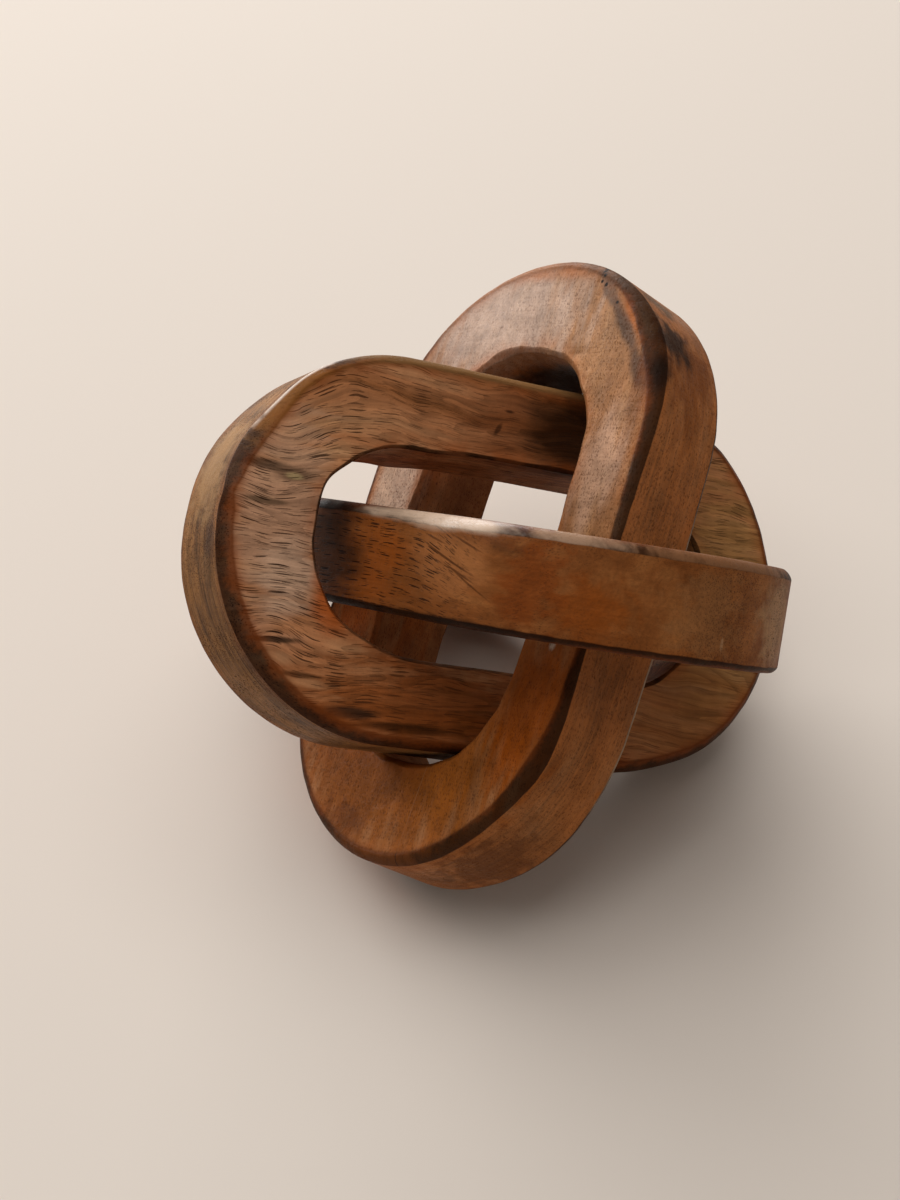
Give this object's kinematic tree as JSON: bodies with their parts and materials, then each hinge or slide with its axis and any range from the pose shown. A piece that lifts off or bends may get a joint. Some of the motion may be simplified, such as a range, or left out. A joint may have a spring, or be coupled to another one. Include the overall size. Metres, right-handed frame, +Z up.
{
  "type": "wooden knot sculpture",
  "caption": "Interlocking wooden knot of loose oval links, threaded so that none can come free, standing on their lower ends as a desk ornament.",
  "frame": {"origin": "on the table that the knot stands on, below the middle of its outline", "axes": "+Z up, -Y towards the viewer of the picture, +X to the viewer's right"},
  "size_m": [0.1354, 0.1382, 0.1069],
  "materials": {
    "left_wood": "oiled and waxed, satin",
    "cross_wood": "oiled and waxed, satin",
    "upright_wood": "oiled and waxed, satin",
    "wood_glue": "dried wood glue"
  },
  "bodies": {
    "left_link": {"left_link": "left_wood"},
    "cross_link": {"cross_link": "cross_wood"},
    "upright_link": {"upright_link_left_half": "upright_wood", "upright_link_right_half": "upright_wood", "upright_link_glue": "wood_glue"}
  },
  "joints": [
    {"name": "cross_link_rock", "type": "hinge", "parent": "left_link", "child": "cross_link", "pos_m": [-0.003, 0.001, 0.042], "axis": [-0.9852, 0.1106, 0.1307], "range_deg": [0, 18]},
    {"name": "upright_link_rock", "type": "hinge", "parent": "left_link", "child": "upright_link", "pos_m": [0, 0.002, 0.054], "axis": [0.2387, -0.8156, 0.5271], "range_deg": [0, 23]}
  ]
}
